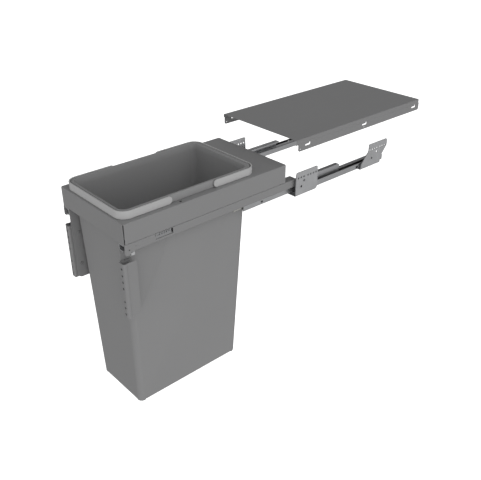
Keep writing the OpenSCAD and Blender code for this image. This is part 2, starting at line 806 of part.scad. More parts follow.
// Door bracket: a channel with a broad outer bend, a joggled outer leg, a row of door fixing holes and an
// inner leg on the gusset
module door_bracket() {
    z1 = door_z1();
    z0 = z1 - door_bracket_h;
    x0 = door_inner_x + door_t / 2;
    x1 = door_outer_x - door_t / 2;
    y0 = door_face_y + door_t / 2;
    jog_y = door_face_y + door_jog_back;
    color(paint) difference() {
        union() {
            intersection() {
                up_from(z0, z1)
                    polygon(sheet(
                        [[x0, door_face_y + inner_leg], [x0, y0], [x1, y0], [x1, jog_y],
                         [x1 - door_jog, jog_y + 2 * door_jog], [x1 - door_jog, door_face_y + door_leg]],
                        door_t, [door_t / 2, door_bend, door_t / 2, door_t / 2]
                    ));
                along_x(door_inner_x - over, door_outer_x + over)
                    polygon(outline([
                        [door_face_y, z0, 0], [jog_y, z0, 0],
                        [door_face_y + door_leg, z0 + door_leg_rise, door_leg_r],
                        [door_face_y + door_leg, z1, door_leg_r], [door_face_y, z1, 0]
                    ]));
            }
            // Pressed bosses that stand on the gusset plate
            screw_places() bore_x(rail_x, door_inner_x + door_t / 2, 0, 0, boss_d);
        }
        for (row = door_hole_rows)
            translate([side_x - door_hole_x, 0, z1 - door_hole_first - row * door_pitch])
                rotate([-90, 0, 0]) translate([0, 0, door_face_y - over])
                    cylinder(h = door_t + 2 * over, d = door_hole_d);
        screw_places() bore_x(rail_x - over, door_inner_x + door_t + over, 0, 0, screw_d + 2 * pin_clear);
    }
}

module door_screws() {
    color(steel) screw_places() {
        bore_x(rail_x - gusset_t - screw_head_t, rail_x - gusset_t, 0, 0, screw_head_d);
        bore_x(rail_x - gusset_t, door_inner_x + door_t + nut_t + over, 0, 0, screw_d);
    }
}

module door_nuts() {
    x0 = door_inner_x + door_t;
    color(steel) screw_places() difference() {
        translate([x0, 0, 0]) rotate([0, 90, 0]) cylinder(h = nut_t, d = nut_w / cos(30), $fn = 6);
        bore_x(x0 - over, x0 + nut_t + over, 0, 0, screw_d + 2 * rivet_clear);
    }
}

// Release lever: turns on its pin behind the side profile; the thumb tab steps out under the profile
module release_lever() {
    y = front_y + lever_y;
    z = frame_z0 - lever_z;
    x1 = side_x - profile_t - slide_gap;
    ty0 = front_y + thumb_y0;
    ty1 = ty0 + thumb_l;
    tz1 = frame_z0 - thumb_top;
    tz0 = tz1 - thumb_h;
    color(zinc) difference() {
        union() {
            bore_x(x1 - lever_t, x1, y, z, 2 * lever_eye_r);
            along_x(x1 - lever_t, x1) {
                polygon([
                    [y - lever_eye_r, z], [y, z - lever_eye_r], [ty1, tz1 - thumb_r], [ty0, tz1 - thumb_r],
                    [ty0, tz1], [ty0 + lever_eye_r, z]
                ]);
                round_rect(ty0, ty1, tz0, tz1, thumb_r);
            }
            along_x(x1 - lever_t, side_x) round_rect(ty0, ty1, tz0, tz1, thumb_r);
        }
        bore_x(x1 - lever_t - over, x1 + over, y, z, lever_pin_d + 2 * pin_clear);
    }
}

module lever_pin() {
    y = front_y + lever_y;
    z = frame_z0 - lever_z;
    x0 = side_x - profile_t - slide_gap - lever_t - slide_gap / 2;
    color(steel) {
        bore_x(x0, side_x, y, z, lever_pin_d);
        bore_x(x0 - lever_pin_head_t, x0, y, z, lever_pin_head_d);
    }
}

// Adjuster: slides in the window on its back plate, with a lug and teeth in front of a recessed step
module adjuster() {
    wz1 = frame_z0 - window_top;
    z1 = wz1 - adjust_play;
    z0 = wz1 - window_h + adjust_under;
    y0 = front_y + window_y + adjust_play;
    y1 = y0 + window_l - adjust_travel - 2 * adjust_play;
    x1 = side_x - profile_t - slide_gap;
    lug_r = adjust_lug_w / 2;
    tooth_y0 = y1 - adjust_teeth * adjust_tooth_pitch;
    back_z1 = frame_z0 - profile_t - slide_gap;
    color(zinc) {
        along_x(x1 - adjust_back_t, x1)
            round_rect(y0 - adjust_play, y1 + adjust_over, z0 - adjust_over, back_z1, adjust_over / 2);
        along_x(x1, side_x - adjust_step_in) round_rect(y0, y1, z0, z1, adjust_over / 2);
        along_x(x1 - adjust_back_t, side_x - adjust_band_in)
            round_rect(y0, y1, z0, z0 + adjust_band_h, adjust_over / 2);
        along_x(x1, side_x + adjust_proud) round_rect(y0, y0 + adjust_lug_w, z1 - 2 * adjust_lug_w, z1, lug_r - slide_gap / 4);
        for (i = [0 : adjust_teeth - 1])
            along_x(x1, side_x + adjust_proud)
                translate([tooth_y0 + i * adjust_tooth_pitch, z0 + adjust_band_h - over / 2])
                    square([adjust_tooth_w, z1 - z0 - adjust_band_h + over / 2]);
    }
}

// Tapered bin body between the seat and the base, drawn in by inset all round
module bin_body(inset, z0, z1) {
    x0 = body_x - side_draft - inset;
    y0 = body_y0 + front_draft + inset;
    y1 = body_y1 - rear_draft - inset;
    hull($fn = 32) {
        up_from(z1 - slice, z1)
            round_rect(-body_x + inset, body_x - inset, body_y0 + inset, body_y1 - inset, body_r - inset, $fn = 32);
        up_from(z0 + foot_edge, z0 + foot_edge + slice) round_rect(-x0, x0, y0, y1, foot_r - inset, $fn = 32);
        up_from(z0, z0 + slice)
            round_rect(
                -x0 + foot_edge, x0 - foot_edge, y0 + foot_edge, y1 - foot_edge,
                foot_r - foot_edge + inset, $fn = 32
            );
    }
}

// Outline of the bin's inner wall at the ledge, and of its mouth, each moved outwards by grow
module throat(grow) {
    round_rect(
        -body_x + bin_wall - grow, body_x - bin_wall + grow,
        body_y0 + bin_wall - grow, body_y1 - bin_wall + grow, body_r - bin_wall + grow, $fn = 32
    );
}

module mouth(grow) {
    round_rect(
        -rim_x + mouth_side - grow, rim_x - mouth_side + grow,
        rim_y0 + mouth_front - grow, rim_y1 - mouth_rear + grow, mouth_r + grow, $fn = 32
    );
}

// Funnel between the ledge and the rim, for the inside (grow 0) and the outside of the wall
module funnel(grow) {
    hull($fn = 32) {
        up_from(seat_z, seat_z + slice) throat(grow);
        up_from(rim_z1 - slice, rim_z1) mouth(grow);
    }
}

module rim(inset) {
    round_rect(-rim_x + inset, rim_x - inset, rim_y0 + inset, rim_y1 - inset, rim_r - inset);
}

// Bin: tapered body, funnel and rim, whose turned-down skirt stands on the ledge, and four pivot studs
module bin() {
    color(bin_grey) difference() {
        union() {
            bin_body(0, bin_z0, seat_z + slice);
            funnel(bin_wall);
            difference() {
                union() {
                    up_from(seat_z, rim_z1 - rim_edge) rim(0);
                    hull($fn = 32) for (k = [0 : edge_steps])
                        up_from(
                            rim_z1 - rim_edge + rim_edge * sin(90 * k / edge_steps) - slice,
                            rim_z1 - rim_edge + rim_edge * sin(90 * k / edge_steps)
                        )
                            rim(rim_edge * (1 - cos(90 * k / edge_steps)), $fn = 32);
                }
                up_from(seat_z - over, rim_z1 - rim_top_t) rim(bin_wall);
            }
            for (m = [0, 1], s = [-1, 1])
                mirror([m, 0, 0])
                    bore_x(
                        rim_x - bin_wall, rim_x + handle_gap + stud_in,
                        handle_mid_y + s * pivot_back, pivot_z, stud_d
                    );
        }
        bin_body(bin_wall, bin_z0 + bin_wall, seat_z + slice);
        funnel(0);
        up_from(rim_z1 - slice - over, rim_z1 + over) mouth(0);
    }
}

// Handle: a flat bow round half of the rim, with round ends bored from inside for the studs
module handle(s) {
    y_cut = handle_mid_y + s * pivot_back;
    x0 = rim_x + handle_gap;
    color(handle_grey) difference() {
        union() {
            intersection() {
                up_from(rim_z1 - handle_h, rim_z1) difference() {
                    round_rect(-handle_x, handle_x, handle_y0, handle_y1, handle_r);
                    round_rect(
                        -x0, x0, handle_y0 + handle_t, handle_y1 - handle_t, handle_r - handle_t
                    );
                }
                translate([-handle_x - over, s < 0 ? handle_y0 - over : y_cut, seat_z - over])
                    cube([
                        2 * handle_x + 2 * over,
                        s < 0 ? y_cut - handle_y0 + over : handle_y1 - y_cut + over,
                        rim_h + 2 * over
                    ]);
            }
            for (m = [0, 1]) mirror([m, 0, 0]) bore_x(x0, handle_x, y_cut, pivot_z, handle_h);
        }
        for (m = [0, 1]) mirror([m, 0, 0])
            bore_x(x0 - over, x0 + stud_in + stud_floor, y_cut, pivot_z, stud_d + 2 * pin_clear);
    }
}

module front_handle() handle(-1);
module rear_handle() handle(1);

left() cabinet_rail();  // cabinet_rail_left
right() cabinet_rail();  // cabinet_rail_right
left() front_bracket();  // front_bracket_left
right() front_bracket();  // front_bracket_right
left() rear_bracket();  // rear_bracket_left
right() rear_bracket();  // rear_bracket_right
left() bracket_rivets();  // bracket_rivets_left
right() bracket_rivets();  // bracket_rivets_right
lid();
left() middle_rail();  // middle_rail_left
right() middle_rail();  // middle_rail_right
left() rail_buffer();  // rail_buffer_left
right() rail_buffer();  // rail_buffer_right
left() lower_cage();  // lower_cage_left
right() lower_cage();  // lower_cage_right
left() lower_balls();  // lower_balls_left
right() lower_balls();  // lower_balls_right
left() upper_cage();  // upper_cage_left
right() upper_cage();  // upper_cage_right
left() upper_balls();  // upper_balls_left
right() upper_balls();  // upper_balls_right
frame_tray();
left() side_profile();  // side_profile_left
right() side_profile();  // side_profile_right
left() drawer_rail();  // drawer_rail_left
right() drawer_rail();  // drawer_rail_right
left() frame_rivets();  // frame_rivets_left
right() frame_rivets();  // frame_rivets_right
left() gusset_plate();  // gusset_plate_left
right() gusset_plate();  // gusset_plate_right
left() door_bracket();  // door_bracket_left
right() door_bracket();  // door_bracket_right
left() door_screws();  // door_screws_left
right() door_screws();  // door_screws_right
left() door_nuts();  // door_nuts_left
right() door_nuts();  // door_nuts_right
left() release_lever();  // release_lever_left
right() release_lever();  // release_lever_right
left() lever_pin();  // lever_pin_left
right() lever_pin();  // lever_pin_right
left() adjuster();  // adjuster_left
right() adjuster();  // adjuster_right
bin();
front_handle();
rear_handle();
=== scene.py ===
import json
import math

import bmesh
import bpy
from mathutils import Matrix

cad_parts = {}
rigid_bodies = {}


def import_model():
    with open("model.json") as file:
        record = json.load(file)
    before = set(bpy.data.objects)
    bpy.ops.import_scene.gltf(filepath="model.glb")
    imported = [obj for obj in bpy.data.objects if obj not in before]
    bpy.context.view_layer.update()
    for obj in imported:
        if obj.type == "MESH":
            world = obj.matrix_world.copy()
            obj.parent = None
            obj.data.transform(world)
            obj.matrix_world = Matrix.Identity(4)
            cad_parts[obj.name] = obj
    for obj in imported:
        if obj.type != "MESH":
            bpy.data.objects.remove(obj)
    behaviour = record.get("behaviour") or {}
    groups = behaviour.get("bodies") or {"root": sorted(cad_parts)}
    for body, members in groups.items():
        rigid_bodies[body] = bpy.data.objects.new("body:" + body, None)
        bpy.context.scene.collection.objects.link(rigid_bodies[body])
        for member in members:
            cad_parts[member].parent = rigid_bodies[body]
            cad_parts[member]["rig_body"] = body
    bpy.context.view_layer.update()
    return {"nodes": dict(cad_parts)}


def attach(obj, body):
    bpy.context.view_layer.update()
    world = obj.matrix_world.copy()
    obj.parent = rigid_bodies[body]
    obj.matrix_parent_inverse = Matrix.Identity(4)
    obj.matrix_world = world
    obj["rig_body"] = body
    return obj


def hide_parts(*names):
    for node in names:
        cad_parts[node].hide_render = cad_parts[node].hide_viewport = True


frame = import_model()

# The studio.
# The camera stands where the photograph was taken from: to the right of the unit, in front and above.
# The floor is a plain pale sheet below the bin, and broad soft lights fill in from the front and right.
mm = 0.001
CAMERA_PLACE = (1116.3 * mm, -1059.0 * mm, 641.3 * mm)
DEGREES_DOWN = 29.33
DEGREES_ROUND = 48.13
SENSOR_WIDTH = 36.0
LENS = 48.81
FLOOR_Z = -0.62
FLOOR_SIZE = 20.0
FLOOR_GREY = (0.9, 0.9, 0.9)
FLOOR_WHITE = (0.91, 0.91, 0.91)
FLOOR_CLOUDS = 3.0
FLOOR_ROUGHNESS = 0.9
FLOOR_SHEEN = 0.1
FLOOR_GLOW = 1.0
LIGHT_ALL_ROUND = 0.268
LIGHT_RIGHT = 0.86
LIGHT_UPPER_RIGHT = 1.24
LIGHT_FRONT = 0.67
BROAD = 4.0
NARROW = 20.0
UPPER_LIGHT_HEIGHT = math.radians(46)

camera = bpy.data.objects.new("camera", bpy.data.cameras.new("camera"))
bpy.context.scene.collection.objects.link(camera)
camera.location = CAMERA_PLACE
camera.rotation_euler = (math.radians(90 - DEGREES_DOWN), 0, math.radians(DEGREES_ROUND))
camera.data.sensor_width = SENSOR_WIDTH
camera.data.lens = LENS
bpy.context.scene.camera = camera
bpy.context.scene.view_settings.view_transform = "Standard"

bm = bmesh.new()
bmesh.ops.create_grid(bm, x_segments=1, y_segments=1, size=FLOOR_SIZE)
bmesh.ops.translate(bm, verts=bm.verts, vec=(0, 0, FLOOR_Z))
floor = bpy.data.objects.new("floor", bpy.data.meshes.new("floor"))
bm.to_mesh(floor.data)
bm.free()
bpy.context.scene.collection.objects.link(floor)
floor.visible_diffuse = False
floor.visible_glossy = False


class Wire:
    """The output socket of a material's node. Sums and products of wires add Math nodes beside it."""

    def __init__(self, socket):
        self.socket = socket

    def add(self, kind, settings=None, inputs=None, output=0):
        """Adds a node of any kind: its settings first, then the values or wires of its sockets."""
        tree = self.socket.id_data
        node = tree.nodes.new(kind)
        for name, value in (settings or {}).items():
            if name == "stops":
                for element, (place, colour) in zip(node.color_ramp.elements, value):
                    element.position, element.color = place, colour
            else:
                setattr(node, name, value)
        for name, value in (inputs or {}).items():
            if isinstance(value, Wire):
                tree.links.new(value.socket, node.inputs[name])
            else:
                node.inputs[name].default_value = value
        return Wire(node.outputs[output])

    def maths(self, operation, other, swap=False):
        pair = (other, self) if swap else (self, other)
        return self.add("ShaderNodeMath", {"operation": operation}, {0: pair[0], 1: pair[1]})

    def __add__(self, other):
        return self.maths("ADD", other)

    def __sub__(self, other):
        return self.maths("SUBTRACT", other)

    def __rsub__(self, other):
        return self.maths("SUBTRACT", other, swap=True)

    def __mul__(self, other):
        return self.maths("MULTIPLY", other)

    __radd__ = __add__
    __rmul__ = __mul__

    def parts(self):
        """The three parts of a direction or a place: to the right, to the back and up."""
        node = self.add("ShaderNodeSeparateXYZ", {}, {"Vector": self}).socket.node
        return [Wire(part) for part in node.outputs]

    def noise(self, scale, detail=2.0, stretch=(1, 1, 1)):
        """A cloud of values from 0 to 1; stretch draws it out along an axis where it is small."""
        place = self.add("ShaderNodeMapping", {}, {"Vector": self, "Scale": stretch})
        return self.add("ShaderNodeTexNoise", {}, {"Vector": place, "Scale": scale, "Detail": detail})

    def between(self, first, second):
        """Goes from one colour or wire to the other as this wire goes from 0 to 1."""
        ends = [end if isinstance(end, Wire) else (*end, 1) for end in (first, second)]
        mix = {"data_type": "RGBA", "clamp_factor": True}
        return self.add("ShaderNodeMix", mix, {0: self, 6: ends[0], 7: ends[1]}, output=2)


def new_material(name):
    """An empty material: its shader node and a wire with the Object coordinates."""
    material = bpy.data.materials.new(name)
    material.use_nodes = True
    shader = material.node_tree.nodes["Principled BSDF"]
    coordinates = material.node_tree.nodes.new("ShaderNodeTexCoord")
    return material, shader, Wire(coordinates.outputs["Object"])


def connect(wire, shader, socket):
    shader.id_data.links.new(wire.socket, shader.inputs[socket])


floor_paint, shader, place = new_material("floor_paint")
connect(place.noise(FLOOR_CLOUDS).between(FLOOR_GREY, FLOOR_WHITE), shader, "Base Color")
shader.inputs["Roughness"].default_value = FLOOR_ROUGHNESS
shader.inputs["Specular IOR Level"].default_value = FLOOR_SHEEN
shader.inputs["Emission Color"].default_value = (1, 1, 1, 1)
shader.inputs["Emission Strength"].default_value = FLOOR_GLOW
floor.data.materials.append(floor_paint)

world = bpy.data.worlds.new("studio")
world.use_nodes = True
bpy.context.scene.world = world
background = world.node_tree.nodes["Background"]
direction = Wire(world.node_tree.nodes.new("ShaderNodeTexCoord").outputs["Generated"])
toward_right, toward_back, upward = direction.parts()


def softbox(facing, focus):
    """A round light, brightest in its middle and fading out toward its rim."""
    return facing.maths("MAXIMUM", 0.0).maths("POWER", focus)


toward_upper_right = toward_right * math.cos(UPPER_LIGHT_HEIGHT) + upward * math.sin(UPPER_LIGHT_HEIGHT)
studio_light = (
    softbox(toward_right, BROAD) * LIGHT_RIGHT
    + softbox(toward_upper_right, NARROW) * LIGHT_UPPER_RIGHT
    + softbox(0.0 - toward_back, BROAD) * LIGHT_FRONT
    + LIGHT_ALL_ROUND
)
seen = Wire(world.node_tree.nodes.new("ShaderNodeLightPath").outputs["Is Camera Ray"])
light = seen + studio_light * (1.0 - seen)
world.node_tree.links.new(light.socket, background.inputs["Color"])

# The cabinet rails.
# Each is cold-rolled steel strip, roll-formed into a channel and zinc plated, with a lipped inner wall
# that the balls run on. Faint rolling lines follow the strip, and the inside of the channel is painted
# dark as the shade that falls there.
SIDES = {"left": -1, "right": 1}
ZINC_LIGHT = (0.69, 0.697, 0.71)
ZINC_DARK = (0.50, 0.507, 0.518)
# Lighter zinc for the rounded edges: partly wear and partly a painted highlight.
ZINC_WORN_AND_HIGHLIT = (0.77, 0.775, 0.785)
ZINC_METAL = 0.85
ZINC_ROUGHNESS = 0.36
WORN_ROUGHNESS = 0.3
ROLLING_LINES = (900, 12, 900)
ZINC_CLOUDS = 24.0
SPANGLE_SCALE = 55.0
SCUFF_STRETCH = 0.35
ZINC_SCUFFS = (0.56, 0.68)
TONE_OF_CLOUDS = 0.45
TONE_OF_LINES = 0.35
TONE_OF_SPANGLE = 0.2
ROUGHER_BY_LINES = 0.2
ROUGHER_BY_CLOUDS = 0.12
ROUGHER_BY_SCUFFS = 0.08
ZINC_RELIEF = 0.02 * mm
ZINC_RELIEF_STRENGTH = 0.35
SPANGLE_RELIEF = 0.15
# Painted shade: the two dark tones that stand for the shade inside the channel.
CHANNEL_SHADE_LIGHT = (0.13, 0.128, 0.122)
CHANNEL_SHADE_DARK = (0.05, 0.049, 0.046)
CHANNEL_WALLS_X = (102.9 * mm, 126.2 * mm)
CHANNEL_Z = (-43.2 * mm, -30.6 * mm)
EASED = 0.25 * mm
FOLD_ANGLE = math.radians(35)
SAME_PLACE = 0.001 * mm


def marks(noise, fades):
    """The few high spots of a noise as marks: none below the first value, full above the second."""
    stops = [(fades[0], (0, 0, 0, 1)), (fades[1], (1, 1, 1, 1))]
    return noise.add("ShaderNodeValToRGB", {"stops": stops}, {"Fac": noise})


def swing(noise, amount):
    """A noise moved down to lie about 0, and scaled to the given amount."""
    return (noise - 0.5) * amount


def within(wire, limits):
    """1 where the wire lies between the two limits, and 0 elsewhere."""
    return wire.maths("GREATER_THAN", limits[0]) * wire.maths("LESS_THAN", limits[1])


def raise_grain(shader, height, depth, strength):
    """Feeds a height to the shader's normal; depth is the real height of the grain in metres."""
    bump = height.add("ShaderNodeBump", {}, {"Strength": strength, "Distance": depth, "Height": height})
    connect(bump, shader, "Normal")


def zinc_plate(name, light, dark, roughness, lines_along, shaded_channel=False):
    """Zinc-plated steel: rolling lines, a cloudy spangle, a few scuffs, and painted shade inside a channel.
    """
    material, shader, place = new_material(name)
    cloud = place.noise(ZINC_CLOUDS, detail=3.0)
    lines = place.noise(1.0, detail=3.0, stretch=lines_along)
    cells = {"Vector": place, "Scale": SPANGLE_SCALE}
    spangle = place.add("ShaderNodeTexVoronoi", {"feature": "F1"}, cells)
    scuffs_along = tuple(SCUFF_STRETCH * size for size in lines_along)
    scuffs = marks(place.noise(1.0, detail=6.0, stretch=scuffs_along), ZINC_SCUFFS)
    mottle = cloud * TONE_OF_CLOUDS + lines * TONE_OF_LINES + spangle * TONE_OF_SPANGLE
    colour = mottle.between(dark, light)
    # Painted shade: between the channel's walls and below their tops, the colour is darkened.
    if shaded_channel:
        across, _, up = place.parts()
        in_channel = within(across.maths("ABSOLUTE", 0.0), CHANNEL_WALLS_X) * within(up, CHANNEL_Z)
        colour = in_channel.between(colour, mottle.between(CHANNEL_SHADE_DARK, CHANNEL_SHADE_LIGHT))
    connect(colour, shader, "Base Color")
    shader.inputs["Metallic"].default_value = ZINC_METAL
    uneven = swing(lines, ROUGHER_BY_LINES) + swing(cloud, ROUGHER_BY_CLOUDS) + scuffs * ROUGHER_BY_SCUFFS
    connect(uneven + roughness, shader, "Roughness")
    raise_grain(shader, lines + spangle * SPANGLE_RELIEF, ZINC_RELIEF, ZINC_RELIEF_STRENGTH)
    return material


def even_shading(piece, keep_sharp):
    """Keeps flat faces flat to the eye beside the rounding of their edges."""
    shading = piece.modifiers.new("even_shading", "WEIGHTED_NORMAL")
    shading.mode = "FACE_AREA"
    shading.keep_sharp = keep_sharp


def finish_sheet(name, material, edge_material, eased=EASED, segments=2):
    """Gives a CAD node its finish. Its sharp edges are rounded a little, in the edges' own material."""
    node = frame["nodes"][name]
    node.data.materials.clear()
    node.data.materials.append(material)
    node.data.materials.append(edge_material)
    node.data.shade_smooth()
    weld = node.modifiers.new("weld", "WELD")
    weld.merge_threshold = SAME_PLACE
    rounding = node.modifiers.new("rounding", "BEVEL")
    rounding.width = eased
    rounding.segments = segments
    rounding.limit_method = "ANGLE"
    rounding.angle_limit = FOLD_ANGLE
    rounding.material = 1
    even_shading(node, keep_sharp=True)


rail_zinc = zinc_plate("rail_zinc", ZINC_LIGHT, ZINC_DARK, ZINC_ROUGHNESS, ROLLING_LINES)
# The edge materials are lighter zinc: partly wear on the edges and partly a painted highlight along them.
rail_edge = zinc_plate("rail_edge", ZINC_WORN_AND_HIGHLIT, ZINC_LIGHT, WORN_ROUGHNESS, ROLLING_LINES)
channel_zinc = zinc_plate(
    "channel_zinc", ZINC_LIGHT, ZINC_DARK, ZINC_ROUGHNESS, ROLLING_LINES, shaded_channel=True
)
channel_edge = zinc_plate(
    "channel_edge", ZINC_WORN_AND_HIGHLIT, ZINC_LIGHT, WORN_ROUGHNESS, ROLLING_LINES, shaded_channel=True
)
for side in SIDES:
    finish_sheet(f"cabinet_rail_{side}", channel_zinc, channel_edge)

# The cabinet brackets.
# Two on each side are stamped from thicker zinc-plated plate, with a row of holes for the cabinet
# screws. The front ones stand upright, and the rear ones lean back over a scalloped foot.
BRACKET_LIGHT = (0.75, 0.757, 0.768)
BRACKET_DARK = (0.56, 0.566, 0.577)
BRACKET_ROUGHNESS = 0.45
BRACKET_EDGE_ROUGHNESS = 0.34
BRACKET_LINES = (500, 500, 24)
bracket_zinc = zinc_plate("bracket_zinc", BRACKET_LIGHT, BRACKET_DARK, BRACKET_ROUGHNESS, BRACKET_LINES)
# The brackets' rounded edges are lighter too: partly wear and partly a painted highlight.
bracket_edge = zinc_plate("bracket_edge", ZINC_WORN_AND_HIGHLIT, BRACKET_LIGHT, BRACKET_EDGE_ROUGHNESS, BRACKET_LINES)
for side in SIDES:
    finish_sheet(f"front_bracket_{side}", bracket_zinc, bracket_edge)
    finish_sheet(f"rear_bracket_{side}", bracket_zinc, bracket_edge)

# The bracket rivets.
# Four steel rivets a side hold the feet of the brackets to the rail. Their heads are low domes,
# pressed bright by the setting tool.
RIVET_X = 120.95 * mm
RIVET_Y = (20 * mm, 62 * mm, 272 * mm, 322 * mm)
FOOT_TOP = -43.6 * mm
FOOT_BOTTOM = -47.6 * mm
RIVET_HEAD_R = 3.5 * mm
RIVET_HEAD_H = 1.2 * mm
RIVET_SHANK_R = 2 * mm
# From the middle of a head out to its rim: shares of its radius and of its height.
RIVET_DOME = ((0, 1), (0.35, 0.94), (0.68, 0.72), (0.9, 0.38), (1, 0))
ROUND_SEGMENTS = 24
AT_THE_AXIS = 0.01 * mm
MERGED = 0.005 * mm
QUARTER_TURN = math.radians(90)
SMOOTH_BELOW = math.radians(40)
STEEL_LIGHT = (0.66, 0.665, 0.675)
STEEL_DARK = (0.52, 0.525, 0.535)
STEEL_ROUGHNESS = 0.28
STEEL_GRAIN = (700, 700, 700)


def rivet_profile(dome, upper_r, lower_r, head_height, top, bottom):
    """The outline of a set rivet: the domed head, the shank, and the dome that closes it below."""
    upper_head = [(upper_r * out, top + head_height * up) for out, up in dome]
    shank = [(RIVET_SHANK_R, top), (RIVET_SHANK_R, bottom)]
    lower_head = [(lower_r * out, bottom - head_height * up) for out, up in reversed(dome)]
    return upper_head + shank + lower_head


def put_down(bm, verts, centre, toward=0):
    """Takes an upright shape to its place, upright (0) or laid down to the left (-1) or right (1)."""
    lying = Matrix.Rotation(toward * QUARTER_TURN, 3, "Y")
    bmesh.ops.rotate(bm, verts=verts, cent=(0, 0, 0), matrix=lying)
    bmesh.ops.translate(bm, verts=verts, vec=centre)


def turn(bm, profile, centre, toward=0):
    """Turns a profile of (radius, height) steps about its axis and puts it down at its place."""
    before = set(bm.verts)
    start = [bm.verts.new((radius, 0, height)) for radius, height in profile]
    edges = [bm.edges.new(pair) for pair in zip(start, start[1:])]
    bmesh.ops.spin(
        bm,
        geom=start + edges,
        cent=(0, 0, 0),
        axis=(0, 0, 1),
        angle=math.tau,
        steps=ROUND_SEGMENTS,
        use_merge=True,
    )
    turned = [v for v in bm.verts if v not in before]
    poles = [v for v in turned if v.co.xy.length < AT_THE_AXIS]
    put_down(bm, turned, centre, toward)
    bmesh.ops.remove_doubles(bm, verts=poles, dist=MERGED)


def finish_piece(bm, name, stands_for, material, rounding=0.0, even=False):
    """Closes a mesh up as a piece that moves with the CAD node that it stands for."""
    bmesh.ops.recalc_face_normals(bm, faces=bm.faces)
    piece = bpy.data.objects.new(name, bpy.data.meshes.new(name))
    bm.to_mesh(piece.data)
    bm.free()
    bpy.context.scene.collection.objects.link(piece)
    piece.data.materials.append(material)
    piece.data.shade_smooth()
    piece.data.set_sharp_from_angle(angle=SMOOTH_BELOW)
    if rounding:
        edge = piece.modifiers.new("rounding", "BEVEL")
        edge.width = rounding
        edge.segments = 3
        edge.limit_method = "ANGLE"
        edge.angle_limit = FOLD_ANGLE
    if rounding or even:
        even_shading(piece, keep_sharp=not rounding)
    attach(piece, frame["nodes"][stands_for]["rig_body"])
    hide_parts(stands_for)


bright_steel = zinc_plate("bright_steel", STEEL_LIGHT, STEEL_DARK, STEEL_ROUGHNESS, STEEL_GRAIN)
bracket_rivet = rivet_profile(RIVET_DOME, RIVET_HEAD_R, RIVET_HEAD_R, RIVET_HEAD_H, FOOT_TOP, FOOT_BOTTOM)
for side, sign in SIDES.items():
    bm = bmesh.new()
    for rivet_y in RIVET_Y:
        turn(bm, bracket_rivet, (sign * RIVET_X, rivet_y, 0))
    finish_piece(bm, f"domed_bracket_rivets_{side}", f"bracket_rivets_{side}", bright_steel)

# The middle rails and their buffers.
# The middle rail is zinc-plated strip like the cabinet rail, with its edges painted lighter, partly as
# wear and partly as a painted highlight. A ribbed buffer of natural white plastic is pushed into its
# front end.
PALE_LIGHT = (0.60, 0.60, 0.565)
PALE_DARK = (0.56, 0.56, 0.52)
PALE_ROUGHNESS = 0.5
BUFFER_EASED = 0.2 * mm
MOULD_GRAIN = 700.0
MOULD_CLOUDS = 6.0
MOULD_RELIEF = 0.02 * mm
MOULD_RELIEF_STRENGTH = 0.4
UPRIGHT_SCUFFS = (160, 160, 14)
PLASTIC_SCUFFS = (0.57, 0.72)
TONE_OF_DRIFT = 0.8
TONE_OF_GRAIN = 0.2
ROUGHER_BY_GRAIN = 0.14
ROUGHER_BY_DRIFT = 0.08
ROUGHER_WHERE_SCUFFED = 0.2
PLASTIC_SHEEN = 0.45


def moulded_plastic(name, light, dark, roughness, scuffing=0.0):
    """Moulded plastic: the fine spark-eroded grain of the mould, slow colour drift and light scuffs."""
    material, shader, place = new_material(name)
    drift = place.noise(MOULD_CLOUDS, detail=3.0)
    grain = place.noise(MOULD_GRAIN, detail=3.0)
    scuffs = marks(place.noise(1.0, detail=5.0, stretch=UPRIGHT_SCUFFS), PLASTIC_SCUFFS)
    tone = drift * TONE_OF_DRIFT + grain * TONE_OF_GRAIN + scuffs * scuffing
    connect(tone.between(dark, light), shader, "Base Color")
    uneven = swing(grain, ROUGHER_BY_GRAIN) + swing(drift, ROUGHER_BY_DRIFT)
    uneven = uneven + scuffs * scuffing * ROUGHER_WHERE_SCUFFED
    connect(uneven + roughness, shader, "Roughness")
    shader.inputs["Specular IOR Level"].default_value = PLASTIC_SHEEN
    raise_grain(shader, grain, MOULD_RELIEF, MOULD_RELIEF_STRENGTH)
    return material


pale_plastic = moulded_plastic("pale_plastic", PALE_LIGHT, PALE_DARK, PALE_ROUGHNESS)
for side in SIDES:
    finish_sheet(f"middle_rail_{side}", rail_zinc, rail_edge)
    finish_sheet(f"rail_buffer_{side}", pale_plastic, pale_plastic, BUFFER_EASED)

# The ball cages and their balls.
# A cage is a thin strip of white plastic that keeps the hardened steel balls apart. One pair of
# strips runs between the cabinet rail and the middle rail, another inside the drawer rail.
BALL_R = 2.5 * mm
BALL_X = 109.65 * mm
# Each row of balls: its places along the runner and its two heights, in millimetres.
BALL_ROWS = {
    "lower": ((25, 33, 41, 49, 139, 147, 155, 163), (-41.05, -34.45)),
    "upper": ((-134.5, -126.5, -118.5, -110.5, -20.5, -12.5, -4.5, 3.5), (-18.15, -11.55)),
}
BALL_LIGHT = (0.78, 0.785, 0.79)
BALL_DARK = (0.68, 0.685, 0.69)
BALL_ROUGHNESS = 0.14
CAGE_EASED = 0.15 * mm
ball_steel = zinc_plate("ball_steel", BALL_LIGHT, BALL_DARK, BALL_ROUGHNESS, STEEL_GRAIN)
for side, sign in SIDES.items():
    for row, (places_y, places_z) in BALL_ROWS.items():
        finish_sheet(f"{row}_cage_{side}", pale_plastic, pale_plastic, CAGE_EASED)
        bm = bmesh.new()
        for ball_y in places_y:
            for ball_z in places_z:
                centre = Matrix.Translation((sign * BALL_X, ball_y * mm, ball_z * mm))
                bmesh.ops.create_icosphere(bm, subdivisions=2, radius=BALL_R, matrix=centre)
        finish_piece(bm, f"{row}_steel_balls_{side}", f"{row}_balls_{side}", ball_steel)
